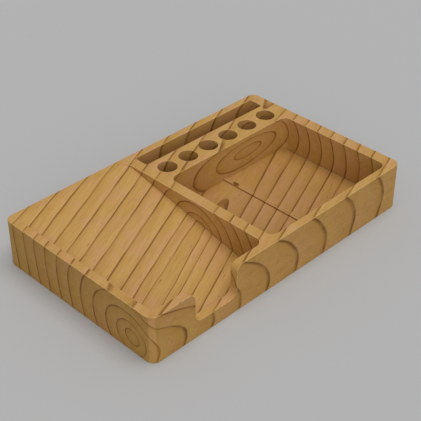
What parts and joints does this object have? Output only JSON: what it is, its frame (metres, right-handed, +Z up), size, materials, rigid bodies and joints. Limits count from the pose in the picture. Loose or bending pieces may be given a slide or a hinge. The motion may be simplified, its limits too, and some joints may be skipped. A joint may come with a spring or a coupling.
{
  "type": "tool storage caddy",
  "caption": "Shallow oblong wooden caddy with a scoop ramp and spout notch, an open bin, a row of round tool holes and a long slot.",
  "frame": {"origin": "bottom centre of the rectangular footprint", "axes": "+X along the length towards the bin end, +Y from the notched front wall to the back wall, +Z up"},
  "size_m": [0.2, 0.12, 0.03],
  "materials": {
    "wall_front": "satin, fine sanded, thin clear oil",
    "wall_back": "satin, fine sanded, thin clear oil",
    "wall_left": "satin, fine sanded, thin clear oil",
    "wall_right": "satin, fine sanded, thin clear oil",
    "divider": "satin, fine sanded, thin clear oil",
    "scoop_block": "satin, fine sanded, thin clear oil",
    "floor_panel": "satin, fine sanded, thin clear oil",
    "tool_block": "satin, fine sanded, thin clear oil",
    "floor_rib": "satin, fine sanded, thin clear oil"
  },
  "bodies": {
    "root": {"wall_front": "wall_front", "wall_back": "wall_back", "wall_left": "wall_left", "wall_right": "wall_right", "divider": "divider", "scoop_block": "scoop_block", "floor_panel": "floor_panel", "tool_block": "tool_block", "floor_rib": "floor_rib"}
  },
  "joints": []
}
